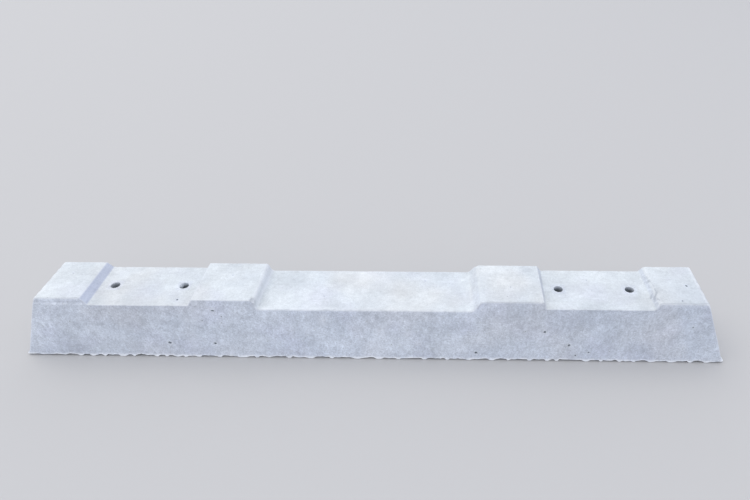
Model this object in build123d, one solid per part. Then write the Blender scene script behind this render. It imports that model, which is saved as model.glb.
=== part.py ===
from build123d import *
import os

# Prestressed concrete railway sleeper for a 900 mm gauge, bolted rails.
# Frame: origin at the centre of the underside, +X along the sleeper,
# +Y across it, +Z up. All sizes in millimetres.

# --- driving dimensions -------------------------------------------------
gauge = 900.0              # between the inner faces of the rail heads
rail_head_width = 60.0     # head of a 30 kg/m rail
seat_spacing = gauge + rail_head_width      # rail seat centres, 960

length_bottom = 1526.0     # along the underside
length_top = 1396.0        # along the shoulders' top faces
height = 150.0             # underside to the shoulders' top faces
width_bottom = 168.0       # across the underside
width_top = 124.0          # across the shoulders' top faces

z_seat = 135.0             # rail seat, 15 below the shoulders
z_middle = 128.0           # waist between the inner shoulders

x_seat_inner = 374.5       # seat floor, end nearest the middle
x_seat_outer = 590.0       # seat floor, end nearest the sleeper's end
x_inner_step_top = 364.5   # top edge of the steep inner step
x_outer_bevel_top = 598.5  # top edge of the outer bevel
x_slope_top = 236.0        # inner shoulder's edge towards the middle
x_slope_foot = 219.5       # foot of that slope

hole_spacing = 151.0       # between the two bolt holes of a seat
hole_diameter = 20.0

r_profile = 5.5            # rounding of the cross edges on top
r_end = 7.0                # rounding where the top turns down the ends
r_root = 6.0               # rounding in the recesses' corners
r_long_edge = 5.0          # rounding along the top edges and end corners
r_bottom = 1.5             # rounding of the underside's edges


def side_profile():
    """Outline of the sleeper seen from the side, in the XZ plane."""
    half = [
        (x_slope_foot, z_middle, r_root),
        (x_slope_top, height, r_profile),
        (x_inner_step_top, height, r_profile),
        (x_seat_inner, z_seat, r_root),
        (x_seat_outer, z_seat, r_root),
        (x_outer_bevel_top, height, r_profile),
        (length_top / 2, height, r_end),
        (length_bottom / 2, 0.0, 0.0),
    ]
    pts = [(-x, z, r) for x, z, r in half[::-1]] + half
    with BuildSketch(Plane.XZ) as sk:
        with BuildLine():
            Polyline(*[(x, z) for x, z, _ in pts], close=True)
        make_face()
        for x, z, r in pts:
            if r > 0:
                v = min(sk.vertices(),
                        key=lambda q: (q.X - x) ** 2 + (q.Y - z) ** 2)
                fillet(v, r)
    return sk.sketch


def cross_section():
    """Trapezoid across the sleeper, in the YZ plane."""
    with BuildSketch(Plane.YZ) as sk:
        with BuildLine():
            Polyline((-width_bottom / 2, 0), (width_bottom / 2, 0),
                     (width_top / 2, height), (-width_top / 2, height),
                     close=True)
        make_face()
    return sk.sketch


# --- the cast body ------------------------------------------------------
long_prism = extrude(cross_section(), amount=length_bottom / 2 + 20, both=True)
side_prism = extrude(side_profile(), amount=width_bottom / 2 + 20, both=True)
body = long_prism & side_prism

# One chain of edges on each side: up one end's corner, along the top
# through the recesses, and down the other end's corner.


def on_side_chain(e):
    c = e.center()
    half_width = width_bottom / 2 - (width_bottom - width_top) / 2 * c.Z / height
    return c.Z > 1.0 and abs(abs(c.Y) - half_width) < 0.6


side_chain = [e for e in body.edges() if on_side_chain(e)]
body = fillet(side_chain, r_long_edge)

under = [e for e in body.edges() if abs(e.center().Z) < 0.01]
body = fillet(under, r_bottom)

# --- the four bolt holes ------------------------------------------------
for side in (-1, 1):
    for k in (-1, 1):
        x = side * seat_spacing / 2 + k * hole_spacing / 2
        hole = Pos(x, 0, height / 2) * Cylinder(hole_diameter / 2, height + 40)
        body = body - hole

sleeper = body.solids()[0]

os.makedirs("parts", exist_ok=True)
export_step(sleeper, "parts/sleeper.step")
print("sleeper", round(sleeper.volume / 1e9, 5), "m3", sleeper.bounding_box().size)
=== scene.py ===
import bpy
import math
import numpy as np
from mathutils import Matrix, Vector


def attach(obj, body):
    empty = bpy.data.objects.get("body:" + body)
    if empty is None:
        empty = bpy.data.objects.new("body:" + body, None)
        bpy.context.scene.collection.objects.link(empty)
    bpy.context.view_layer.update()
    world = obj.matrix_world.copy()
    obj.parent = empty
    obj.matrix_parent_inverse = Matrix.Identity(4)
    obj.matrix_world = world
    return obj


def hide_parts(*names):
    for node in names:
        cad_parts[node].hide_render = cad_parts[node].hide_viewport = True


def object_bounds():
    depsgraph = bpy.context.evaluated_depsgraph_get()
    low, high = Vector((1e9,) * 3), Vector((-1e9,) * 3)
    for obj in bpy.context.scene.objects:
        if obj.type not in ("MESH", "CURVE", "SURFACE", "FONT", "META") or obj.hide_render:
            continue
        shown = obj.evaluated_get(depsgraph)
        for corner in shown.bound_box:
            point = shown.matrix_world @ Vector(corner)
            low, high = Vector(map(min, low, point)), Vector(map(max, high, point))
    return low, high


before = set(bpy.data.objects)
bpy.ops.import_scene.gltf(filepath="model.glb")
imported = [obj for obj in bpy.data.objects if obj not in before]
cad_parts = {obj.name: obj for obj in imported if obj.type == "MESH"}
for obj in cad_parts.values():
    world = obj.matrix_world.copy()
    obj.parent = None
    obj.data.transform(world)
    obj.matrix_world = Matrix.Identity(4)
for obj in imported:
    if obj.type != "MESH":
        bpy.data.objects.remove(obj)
cad_lo, cad_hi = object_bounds()

MM = 0.001

# =========================================================================
# 1. Noise, in millimetres, the same on every run
# =========================================================================


def _lattice(ix, iy, iz, seed):
    h = (ix * 73856093) ^ (iy * 19349663) ^ (iz * 83492791) ^ (seed * 40503 + 977)
    h = h & 0xFFFFFFFF
    h = ((h ^ (h >> 15)) * 739982445) & 0xFFFFFFFF
    h = ((h ^ (h >> 12)) * 695872825) & 0xFFFFFFFF
    h = h ^ (h >> 15)
    return ((h & 1023) / 511.5 - 1.0, ((h >> 10) & 1023) / 511.5 - 1.0, ((h >> 20) & 1023) / 511.5 - 1.0)


def noise(p, size, seed=0):
    """Smooth gradient noise, about -1 to 1, with features of the given size (one number or three)."""
    q = p / np.asarray(size, float)
    i = np.floor(q).astype(np.int64)
    f = q - i
    u = f * f * f * (f * (f * 6 - 15) + 10)
    out = np.zeros(len(p))
    for dx in (0, 1):
        wx = u[:, 0] if dx else 1 - u[:, 0]
        for dy in (0, 1):
            wy = u[:, 1] if dy else 1 - u[:, 1]
            for dz in (0, 1):
                wz = u[:, 2] if dz else 1 - u[:, 2]
                g = _lattice(i[:, 0] + dx, i[:, 1] + dy, i[:, 2] + dz, seed)
                d = g[0] * (f[:, 0] - dx) + g[1] * (f[:, 1] - dy) + g[2] * (f[:, 2] - dz)
                out += wx * wy * wz * d
    return out * 1.5


def line_noise(x, size, seed):
    x = np.asarray(x, float)
    return noise(np.column_stack([x, np.full(len(x), 3.7), np.full(len(x), 9.1)]), size, seed)


def smooth(a, b, x):
    t = np.clip((x - a) / (b - a), 0, 1)
    return t * t * (3 - 2 * t)


# =========================================================================
# 2. The sleeper's nominal shape, a hair inside the CAD solid
# =========================================================================

HEIGHT = 149.8            # shoulders
SEAT = 135.0              # rail seats
WAIST = 128.0             # between the inner shoulders
HALF_B, HALF_T = 82.3, 61.75    # half widths at z 0 and z 150
END_T, END_B = 697.6, 760.2     # half lengths at z 150 and z 0
BEVEL_T, SEAT_O = 598.5, 590.0
SEAT_I, STEP_T = 374.5, 364.5
SLOPE_T, SLOPE_F = 236.0, 219.5
HOLES = [-555.5, -404.5, 404.5, 555.5]
HOLE_R = 10.0
BLOCK = 16.5              # half side of the square of mesh round each hole


def half_width(z):
    return HALF_B - (HALF_B - HALF_T) * z / 150.0


SIDE_TILT = math.atan2(HALF_B - HALF_T, 150.0)
END_SLOPE = (END_B - END_T) / HEIGHT

# the outline seen from the side: x, z and the rounding at each corner
below = 30.0
outline = [
    (-END_B - END_SLOPE * below, -below, 0.0),
    (-END_T, HEIGHT, 6.0), (-BEVEL_T, HEIGHT, 3.2), (-SEAT_O, SEAT, 3.0),
    (-SEAT_I, SEAT, 3.0), (-STEP_T, HEIGHT, 3.0), (-SLOPE_T, HEIGHT, 5.0), (-SLOPE_F, WAIST, 5.0),
    (SLOPE_F, WAIST, 10.0), (SLOPE_T, HEIGHT, 8.0), (STEP_T, HEIGHT, 3.0), (SEAT_I, SEAT, 2.6),
    (SEAT_O, SEAT, 7.0), (BEVEL_T, HEIGHT, 8.0), (END_T, HEIGHT, 5.5),
    (END_B + END_SLOPE * below, -below, 0.0),
]


def rounded_outline():
    pts, kind = [np.array(outline[0][:2])], []
    for a, b, c in zip(outline[:-2], outline[1:-1], outline[2:]):
        A, B, C, r = np.array(a[:2]), np.array(b[:2]), np.array(c[:2]), b[2]
        u, v = (A - B) / np.linalg.norm(A - B), (C - B) / np.linalg.norm(C - B)
        half = 0.5 * math.acos(np.clip(u @ v, -1, 1))
        t = r / math.tan(half)
        centre = B + (u + v) / np.linalg.norm(u + v) * r / math.sin(half)
        s, e = B + u * t, B + v * t
        turn = (B - A)[0] * (C - B)[1] - (B - A)[1] * (C - B)[0]
        pts.append(s)
        kind.append(0)
        a0, a1 = math.atan2(*(s - centre)[::-1]), math.atan2(*(e - centre)[::-1])
        d = (a1 - a0 + math.pi) % (2 * math.pi) - math.pi
        for k in range(1, 8):
            ang = a0 + d * k / 7
            pts.append(centre + r * np.array([math.cos(ang), math.sin(ang)]))
            kind.append(1 if turn < 0 else -1)
    pts.append(np.array(outline[-1][:2]))
    kind.append(0)
    return np.array(pts), np.array(kind)


RP, RK = rounded_outline()


def outline_distance(x, z):
    """Signed distance to the rounded outline, its gradient, and the kind of stretch it is nearest to."""
    best = np.full(len(x), 1e18)
    cx, cz = np.zeros(len(x)), np.zeros(len(x))
    seg = np.zeros(len(x), int)
    for k in range(len(RP) - 1):
        a, b = RP[k], RP[k + 1]
        d = b - a
        t = np.clip(((x - a[0]) * d[0] + (z - a[1]) * d[1]) / (d @ d), 0, 1)
        qx, qz = a[0] + t * d[0], a[1] + t * d[1]
        dd = (x - qx) ** 2 + (z - qz) ** 2
        m = dd < best
        best[m], cx[m], cz[m], seg[m] = dd[m], qx[m], qz[m], k
    dist = np.sqrt(best)
    outside = z > np.interp(x, RP[:, 0], RP[:, 1], left=-1e3, right=-1e3)
    sign = np.where(outside, 1.0, -1.0)
    dirs = RP[1:] - RP[:-1]
    dirs /= np.linalg.norm(dirs, axis=1)[:, None]
    g = np.column_stack([-dirs[:, 1], dirs[:, 0]])[seg]
    far = dist > 0.02
    g[far, 0] = ((x - cx) / np.maximum(dist, 1e-9) * sign)[far]
    g[far, 1] = ((z - cz) / np.maximum(dist, 1e-9) * sign)[far]
    return dist * sign, g, RK[seg]


def edge_radius(p):
    """Rounding of the long edges and the end corners: crisp at the seats, softer at the shoulders."""
    x, ax, front = p[:, 0], np.abs(p[:, 0]), p[:, 1] < 0
    r = np.where(front, 3.3, 2.8)
    middle = 1 - smooth(SLOPE_T - 10, SLOPE_T, ax)
    r = r * (1 - middle) + np.where(front, 4.6, 3.4) * middle
    seat = smooth(SEAT_I - 6, SEAT_I + 6, ax) * (1 - smooth(SEAT_O - 6, SEAT_O + 6, ax))
    r = r * (1 - seat) + 2.3 * seat
    outer = smooth(SEAT_O, BEVEL_T + 8, ax)
    r = r + 0.4 * outer
    upright = smooth(16, 34, HEIGHT - p[:, 2]) * (ax > 640)
    r = r * (1 - upright) + 4.0 * upright
    along = x + 2000 * np.sign(p[:, 1])
    return r * (1 + 0.25 * line_noise(along, 48.0, 5) + 0.18 * line_noise(along, 15.0, 6))


def rounded_and(A, gA, B, gB, r):
    u, v = np.maximum(A + r, 0), np.maximum(B + r, 0)
    L = np.sqrt(u * u + v * v)
    D = np.minimum(np.maximum(A, B), -r) + L
    flat = L < 1e-6
    g = (u[:, None] * gA + v[:, None] * gB) / np.maximum(L, 1e-6)[:, None]
    g[flat] = np.where((A > B)[flat, None], gA[flat], gB[flat])
    return D, g, 2 * np.minimum(u, v) / np.maximum(u + v, 1e-6)


def field(p, r_long, r_foot):
    x, y, z = p.T
    s = np.where(y < 0, -1.0, 1.0)
    A = (np.abs(y) - half_width(z)) * math.cos(SIDE_TILT)
    gA = np.column_stack([np.zeros(len(p)), s * math.cos(SIDE_TILT), np.full(len(p), math.sin(SIDE_TILT))])
    B, g2, kind = outline_distance(x, z)
    gB = np.column_stack([g2[:, 0], np.zeros(len(p)), g2[:, 1]])
    D, g, edge = rounded_and(A, gA, B, gB, r_long)
    gC = np.tile(np.array([0.0, 0.0, -1.0]), (len(p), 1))
    D, g, foot = rounded_and(D, g, -z, gC, r_foot)
    return D, g, edge, foot, A, B, kind


# =========================================================================
# 3. A mesh of quads over the box-like body, finer along every edge
# =========================================================================

STEP = 4.0      # spacing on the flats
F = 1.25        # spacing across the roundings
FINE = 2.3      # along the long edges no spacing is wider than about this


def graded(length, start, end, top=STEP):
    """Positions 0..1 along a stretch, fine at the ends asked for and even between."""
    def ramp(h):
        out, t = [], h
        while t < top * 0.94:
            out.append(t)
            t *= 1.42
        return out
    a, b = ramp(start), ramp(end)
    while sum(a) + sum(b) > 0.8 * length:
        if len(a) >= len(b):
            a.pop()
        else:
            b.pop()
    rest = length - sum(a) - sum(b)
    n = max(1, int(round(rest / top)))
    pos = np.concatenate([[0], np.cumsum(np.array(a + [rest / n] * n + b[::-1]))])
    return pos / pos[-1]


half_line = [(-END_T, HEIGHT, F), (-BEVEL_T, HEIGHT, F), (-SEAT_O, SEAT, F),
             (-555.5 - BLOCK, SEAT, 0), (-555.5 + BLOCK, SEAT, 0),
             (-404.5 - BLOCK, SEAT, 0), (-404.5 + BLOCK, SEAT, 0),
             (-SEAT_I, SEAT, F), (-STEP_T, HEIGHT, F), (-SLOPE_T, HEIGHT, 1.8), (-SLOPE_F, WAIST, 1.9)]
top_line = half_line + [(-x, z, f) for x, z, f in half_line[::-1]]
fx, fz, coarse = [], [], []
for a, b in zip(top_line[:-1], top_line[1:]):
    A, B = np.array(a[:2]), np.array(b[:2])
    L = np.linalg.norm(B - A)
    t = np.linspace(0, 1, 11) if a[2] == 0 and b[2] == 0 and L < 40 else graded(L, a[2] or STEP, b[2] or STEP)
    for t0, t1 in zip(t[:-1], t[1:]):
        q = A + (B - A) * t0
        fx.append(q[0]); fz.append(q[1]); coarse.append(True)
        if (t1 - t0) * L > FINE:
            q = A + (B - A) * (t0 + t1) / 2
            fx.append(q[0]); fz.append(q[1]); coarse.append(False)
fx.append(top_line[-1][0]); fz.append(top_line[-1][1]); coarse.append(True)
fx, fz = np.array(fx), np.array(fz)
FC, CC = np.arange(len(fx)), np.nonzero(coarse)[0]       # all columns, and the ones on the flats
absx = np.abs(fx)
fb = np.where(absx > 560, np.sign(fx) * (560 + (absx - 560) * (END_B - 560) / (END_T - 560)), fx)

EDGE_STEPS = np.array([0, 1.2, 2.5, 4.0, 5.8, 8.2, 11.4])
seat_half = half_width(SEAT)
side_flat = seat_half - BLOCK - EDGE_STEPS[-1]
n_flat = int(round(side_flat / STEP))
pos_v = np.concatenate([EDGE_STEPS[:-1], EDGE_STEPS[-1] + side_flat * np.arange(n_flat) / n_flat,
                        seat_half - BLOCK + 2 * BLOCK * np.arange(11) / 10])
rest_v = 2 * seat_half - pos_v[:len(EDGE_STEPS) - 1 + n_flat][::-1]
pos_v = np.concatenate([pos_v, rest_v]) / seat_half - 1.0
fv, coarse_v = [], []
for a, b in zip(pos_v[:-1], pos_v[1:]):
    fv.append(a); coarse_v.append(True)
    if (b - a) * seat_half > FINE:
        fv.append((a + b) / 2); coarse_v.append(False)
fv.append(pos_v[-1]); coarse_v.append(True)
fv = np.array(fv)
FV, CV = np.arange(len(fv)), np.nonzero(coarse_v)[0]
ES = len(EDGE_STEPS) - 1

SLANT = 151.6
SIDE_STEPS = np.array([0, 1.2, 2.5, 4.0, 5.8, 8.6, 12.3, 13.5])
W_FOOT = np.array([0, 0.9, 1.9, 3.0, 4.3, 6.0, 8.2, 11.2]) / SLANT
W_TOP = 1 - SIDE_STEPS[::-1] / SLANT
W_MID = np.linspace(15.0 / SLANT, 1 - 16.8 / SLANT, 29)

verts, faces = [], []


def patch(grid):
    """Adds a grid of points as vertices and returns its vertex numbers."""
    start = sum(len(v) for v in verts)
    n, m = grid.shape[:2]
    verts.append(grid.reshape(-1, 3))
    return start + np.arange(n * m).reshape(n, m)


def add_quads(ids, flip=False, skip=None):
    q = np.stack([ids[:-1, :-1], ids[1:, :-1], ids[1:, 1:], ids[:-1, 1:]], axis=-1)
    if flip:
        q = q[..., ::-1]
    if skip is not None:
        q = q[~skip]
    faces.extend(tuple(int(v) for v in f) for f in q.reshape(-1, 4))


def zipper(a, ta, b, tb, flip=False):
    """Fills the strip between two rows of vertices that run the same way, b on a's left."""
    i = j = 0
    while i < len(a) - 1 or j < len(b) - 1:
        na = ta[i + 1] if i < len(a) - 1 else 1e18
        nb = tb[j + 1] if j < len(b) - 1 else 1e18
        if abs(na - nb) < 1e-9:
            f = (a[i], a[i + 1], b[j + 1], b[j])
            i += 1
            j += 1
        elif na < nb:
            f = (a[i], a[i + 1], b[j])
            i += 1
        else:
            f = (a[i], b[j + 1], b[j])
            j += 1
        faces.append(tuple(int(v) for v in (f[::-1] if flip else f)))


def side_points(s, cols, w):
    T = np.stack([fx[cols], s * half_width(fz[cols]), fz[cols]], axis=-1)[:, None]
    B = np.stack([fb[cols], np.full(len(cols), s * HALF_B), np.zeros(len(cols))], axis=-1)[:, None]
    return B + (T - B) * w[None, :, None]


def end_points(s, vs, w):
    k = 0 if s < 0 else -1
    T = np.stack([np.full(len(vs), fx[k]), fv[vs] * half_width(HEIGHT), np.full(len(vs), HEIGHT)], axis=-1)[:, None]
    B = np.stack([np.full(len(vs), fb[k]), fv[vs] * HALF_B, np.zeros(len(vs))], axis=-1)[:, None]
    return B + (T - B) * w[None, :, None]


def top_points(cols, vs):
    c, v = np.meshgrid(cols, vs, indexing="ij")
    return np.stack([fx[c], fv[v] * half_width(fz[c]), fz[c]], axis=-1)


for s in (-1, 1):
    flip = s > 0
    foot = patch(side_points(s, FC, W_FOOT))
    mid = patch(side_points(s, CC, W_MID))
    top = patch(side_points(s, FC, W_TOP))
    for ids in (foot, mid, top):
        add_quads(ids, flip)
    zipper(foot[:, -1], FC, mid[:, 0], CC, flip)
    zipper(mid[:, -1], CC, top[:, 0], FC, flip)

for s in (-1, 1):
    flip = s < 0
    foot = patch(end_points(s, FV, W_FOOT))
    upper = patch(end_points(s, CV, np.concatenate([W_MID, W_TOP])))
    add_quads(foot, flip)
    add_quads(upper, flip)
    zipper(foot[:, -1], FV, upper[:, 0], CV, flip)

front_strip = patch(top_points(FC, CV[:ES + 1]))
flat = patch(top_points(CC, CV[ES + 1:-ES - 1]))
back_strip = patch(top_points(FC, CV[-ES - 1:]))
add_quads(front_strip)
add_quads(back_strip)
zipper(front_strip[:, -1], FC, flat[:, 0], CC)
zipper(flat[:, -1], CC, back_strip[:, 0], FC)

v_flat = fv[CV[ES + 1:-ES - 1]]
x_flat = fx[CC]


def near_index(values, x):
    return int(np.argmin(np.abs(values - x)))


def block_ring(ids, i0, i1, j0, j1):
    """The vertices round a hole's square, in order, anticlockwise from above."""
    return np.array([ids[i, j0] for i in range(i0, i1)] + [ids[i1, j] for j in range(j0, j1)]
                    + [ids[i, j1] for i in range(i1, i0, -1)] + [ids[i0, j] for j in range(j1, j0, -1)])


hole_rings = {"top": [], "foot": []}
skip = np.zeros((len(x_flat) - 1, len(v_flat) - 1), bool)
j0, j1 = near_index(v_flat, -BLOCK / seat_half), near_index(v_flat, BLOCK / seat_half)
for hx in HOLES:
    i0, i1 = near_index(x_flat, hx - BLOCK), near_index(x_flat, hx + BLOCK)
    skip[i0:i1, j0:j1] = True
    hole_rings["top"].append(block_ring(flat, i0, i1, j0, j1))
add_quads(flat, skip=skip)

# the underside: rings inwards from the edge, then a coarser field
INSET = np.array([0, 1.2, 2.6, 4.4, 6.8, 10.2])
under_row = {}
for s in (-1, 1):
    base = side_points(s, FC, W_FOOT)[:, 0]
    g = np.stack([base * np.array([(END_B - d) / END_B, (HALF_B - d) / HALF_B, 0.0]) for d in INSET], axis=1)
    ids = patch(g)
    add_quads(ids, flip=s < 0)
    under_row["long", s] = ids[:, -1]
    base = end_points(s, FV, W_FOOT)[:, 0]
    g = np.stack([base * np.array([(END_B - d) / END_B, (HALF_B - d) / HALF_B, 0.0]) for d in INSET], axis=1)
    ids = patch(g)
    add_quads(ids, flip=s > 0)
    under_row["end", s] = ids[:, -1]

IN = 15.0
ux = [-(END_B - IN)]
for hx in HOLES:
    n = int(round((hx - BLOCK - ux[-1]) / 9.0))
    ux += list(np.linspace(ux[-1], hx - BLOCK, n + 1)[1:])
    ux += list(hx - BLOCK + 2 * BLOCK * np.arange(1, 11) / 10)
ux += list(np.linspace(ux[-1], END_B - IN, int(round((END_B - IN - ux[-1]) / 8.0)) + 1)[1:])
ux = np.array(ux)
uy = np.concatenate([np.linspace(-(HALF_B - IN), -BLOCK, 8)[:-1], np.linspace(-BLOCK, BLOCK, 11)[:-1],
                     np.linspace(BLOCK, HALF_B - IN, 8)])
gx, gy = np.meshgrid(ux, uy, indexing="ij")
under = patch(np.stack([gx, gy, np.zeros_like(gx)], axis=-1))
skip = np.zeros((len(ux) - 1, len(uy) - 1), bool)
j0, j1 = near_index(uy, -BLOCK), near_index(uy, BLOCK)
for hx in HOLES:
    i0, i1 = near_index(ux, hx - BLOCK), near_index(ux, hx + BLOCK)
    skip[i0:i1, j0:j1] = True
    hole_rings["foot"].append(block_ring(under, i0, i1, j0, j1))
add_quads(under, flip=True, skip=skip)
tx, ty = fb / END_B, ux / ux[-1]
zipper(under_row["long", -1], tx, under[:, 0], ty, flip=True)
zipper(under_row["long", 1], tx, under[:, -1], ty)
zipper(under_row["end", -1], fv, under[0, :], uy / uy[-1])
zipper(under_row["end", 1], fv, under[-1, :], uy / uy[-1], flip=True)

P = np.concatenate(verts)
# one vertex for each place: the patches share their borders
key = np.round((P + 0.00037) / 0.002).astype(np.int64)
_, first, inverse = np.unique(key, axis=0, return_index=True, return_inverse=True)
inverse = inverse.ravel()
P = P[first]
faces = [tuple(int(inverse[v]) for v in f) for f in faces]
for name in hole_rings:
    hole_rings[name] = [inverse[r] for r in hole_rings[name]]

# =========================================================================
# 4. Rounded edges, then casting marks, wear and damage
# =========================================================================

r_long = edge_radius(P)
r_foot = np.full(len(P), 1.4)
for _ in range(4):
    D, g, *_rest = field(P, r_long, r_foot)
    P = P - g * (D / np.maximum((g * g).sum(1), 1e-6))[:, None]
D, N, edge, foot, fA, fB, kind = field(P, r_long, r_foot)
N /= np.maximum(np.linalg.norm(N, axis=1), 1e-9)[:, None]
P0 = P.copy()
X, Y, Z = P0.T
side_sign = np.where(Y < 0, -1.0, 1.0)
is_under = smooth(0.3, 0.9, -N[:, 2])
is_side = 1 - smooth(0.35, 0.75, np.abs(N[:, 2]))

# a slight waviness from the steel mould, and the skin's own unevenness
relief = (0.38 * noise(P0, (210, 90, 90), 11) + 0.20 * noise(P0, (64, 48, 48), 12)
          + 0.13 * noise(P0, (20, 18, 18), 13) + 0.07 * noise(P0, (8.5, 8.5, 8.5), 14))
P = P + N * (relief - 0.12)[:, None]

edge_mask = np.clip(edge, 0, 1) * (Z > 12)
convex = (kind > 0) & (fB > -2.5) & (Z > 20)
edge_mask = np.maximum(edge_mask, np.where(convex & (np.abs(X - 236) > 16), np.clip(1 + fB / 1.5, 0, 1), 0) * 0.6)
chip = np.zeros(len(P))


def scoop(c, n, R, depth, rough=0.35, seed=0):
    """Breaks a shallow shell-shaped flake out of an edge at c, facing n."""
    c, n = np.array(c, float), np.array(n, float)
    n /= np.linalg.norm(n)
    centre = c + n * (R - depth)
    near = ((P - centre) ** 2).sum(1) < R * R
    if not near.any():
        return
    idx = np.nonzero(near)[0]
    q = P[idx] - centre
    a = q @ n
    wall = -np.sqrt(np.maximum(R * R - ((q * q).sum(1) - a * a), 0))
    cut = np.clip(a - wall, 0, None)
    w = rough * noise(P[idx], 5.0, 70 + seed) * np.clip(cut / 0.8, 0, 1)
    P[idx] -= n * np.clip(cut + w, 0, None)[:, None]
    chip[idx] = np.maximum(chip[idx], np.clip(cut / 0.7, 0, 1))


def shave(c, n, reach, rough, seed):
    """Wears an edge down to a rough plane through c, facing n, within reach of c along X."""
    n = np.array(n, float)
    n /= np.linalg.norm(n)
    wx = smooth(reach, reach - 16, np.abs(P[:, 0] - c[0]))
    over = (P - np.array(c, float)) @ n + rough * noise(P, (9, 7, 7), seed) + 0.5 * rough * noise(P, 3.6, seed + 1)
    cut = np.clip(over, 0, 9) * wx
    idx = np.nonzero(cut > 0)[0]
    P[idx] -= n * cut[idx, None]
    chip[idx] = np.maximum(chip[idx], 0.35 * np.clip(cut[idx] / 0.6, 0, 1))


def edge_point(x, s):
    z = float(np.interp(x, RP[:, 0], RP[:, 1]))
    return [x, s * half_width(z), z]


rng = np.random.RandomState(41)
# along the left outer shoulder a strip of the front edge has come away down to
# a small ragged ledge, and the right one is worn to a steep slope
strip_wave = line_noise(X, 26.0, 141) + 0.8 * line_noise(X, 7.0, 142)
strip_here = (Y < 0) * smooth(-594.0, -599.5, X) * (N[:, 1] < 0.2)
P[:, 2] += 1.1 * strip_wave * strip_here * np.exp(-((Z - 137.0) / 4.0) ** 2)
strip = strip_here * smooth(136.5, 137.6, Z)
P[:, 1] += strip * (1.3 + 0.45 * line_noise(X, 18.0, 143) + 0.3 * noise(P0, (5, 5, 4), 144))
shave([-660, -57.5, 149.8], (0, -0.86, 0.51), 74, 0.5, 146)
shave([652, -57.2, 149.8], (0, -0.84, 0.54), 60, 0.5, 150)
# the right inner shoulder's front edge is worn as well, and the waist's is broken all along
shave([300, -58.3, 149.8], (0, -0.92, 0.39), 66, 0.5, 154)
shave([0, -62.2, 128.0], (0, -0.80, 0.60), 232, 1.5, 158)
# damage seen along the front
scoop([-236, -58.5, 148.2], (0.62, -0.40, 0.68), 12, 4.0, 0.6, 1)
scoop([-226, -63.6, 138.0], (0.45, -0.80, 0.40), 11, 1.8, 0.5, 2)
scoop([237, -61.9, 149.8], (-0.45, -0.70, 0.55), 15, 3.0, 0.5, 3)
scoop([-589, -61.0, 144.5], (0.50, -0.55, 0.65), 8, 3.0, 0.5, 4)
scoop([-596, -61.0, 148.6], (0.20, -0.62, 0.75), 7, 3.0, 0.4, 5)
scoop([-606, -60.0, 148.8], (-0.2, -0.70, 0.66), 7, 2.6, 0.4, 6)
scoop([-615, -59.5, 149.6], (0.1, -0.60, 0.75), 5.5, 2.4, 0.4, 13)
scoop([-631, -59.5, 149.6], (0.0, -0.60, 0.75), 6, 2.4, 0.4, 14)
scoop([603, -62.5, 148.0], (-0.35, -0.72, 0.60), 14, 2.6, 0.4, 7)
scoop([698.0, -61.8, 149.8], (0.60, -0.60, 0.55), 12, 1.5, 0.4, 8)
scoop([-697.5, -61.8, 149.8], (-0.60, -0.60, 0.55), 15, 3.2, 0.4, 9)
# and at the back and the ends
scoop([237, 61.9, 149.8], (-0.50, 0.62, 0.60), 14, 3.2, 0.5, 10)
scoop([-366, 61.9, 149.8], (-0.40, 0.70, 0.60), 12, 2.2, 0.4, 11)
scoop([-697.5, 61.8, 149.8], (-0.60, 0.60, 0.55), 15, 2.8, 0.4, 12)
scoop([698.5, 61.8, 149.8], (0.62, 0.55, 0.55), 13, 2.0, 0.4, 15)

# small flakes out of the long edges, close together along the waist
for k in range(190):
    s = -1 if rng.rand() < 0.5 else 1
    x = rng.uniform(-690, 690)
    R = rng.uniform(4, 9)
    scoop(edge_point(x, s), (rng.uniform(-0.3, 0.3), s * rng.uniform(0.6, 1.0), rng.uniform(0.5, 1.0)), R,
          rng.uniform(1.1, 2.0), 0.35, 20 + k)
for k in range(46):
    x = -216 + 430 * rng.rand() ** 1.6
    R = rng.uniform(3.5, 7)
    scoop(edge_point(x, -1), (rng.uniform(-0.3, 0.3), -rng.uniform(0.5, 0.9), rng.uniform(0.6, 1.0)), R,
          rng.uniform(1.3, 2.2), 0.5, 300 + k)
for k in range(26):
    s, t = (-1 if rng.rand() < 0.5 else 1), rng.uniform(-58, 58)
    scoop([s * (END_T - 0.5), t, HEIGHT - 0.2], (s * rng.uniform(0.5, 0.9), rng.uniform(-0.3, 0.3), rng.uniform(0.6, 1.0)),
          rng.uniform(4, 9), rng.uniform(1.3, 2.4), 0.4, 400 + k)

# the rough patch on the outer bevel by the right seat, with short cracks
near = np.exp(-(((X - 601) / 9.0) ** 2 + ((Y + 30) / 21.0) ** 2)) * (Z > 120)
P[:, 2] -= near * (0.35 + 0.9 * np.abs(noise(P0, 5.5, 91)))
chip = np.maximum(chip, near * 0.5)
scar = np.zeros(len(P))
for ax_, ay_, bx_, by_, depth, wide in [(601.6, -13.5, 603.2, -22.0, 1.9, 1.6), (603.2, -22.0, 596.0, -34.0, 2.1, 1.7),
                                        (596.0, -34.0, 594.0, -45.0, 1.5, 1.5), (592.4, -24.0, 590.6, -30.0, 1.2, 1.4),
                                        (597.5, -41.0, 600.5, -48.0, 1.1, 1.4), (600.0, 14.0, 601.5, -6.0, 0.6, 1.1),
                                        (597.6, 15.5, 598.4, 13.0, 2.2, 2.4), (596.0, 30.0, 597.5, 24.0, 0.7, 1.3)]:
    d = np.array([bx_ - ax_, by_ - ay_])
    t = np.clip(((X - ax_) * d[0] + (Y - ay_) * d[1]) / (d @ d), 0, 1)
    dist = np.hypot(X - ax_ - t * d[0], Y - ay_ - t * d[1])
    w = np.exp(-(dist / wide) ** 2) * (Z > 120)
    P[:, 2] -= depth * w
    scar = np.maximum(scar, w * min(1.0, depth / 1.2))

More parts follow.
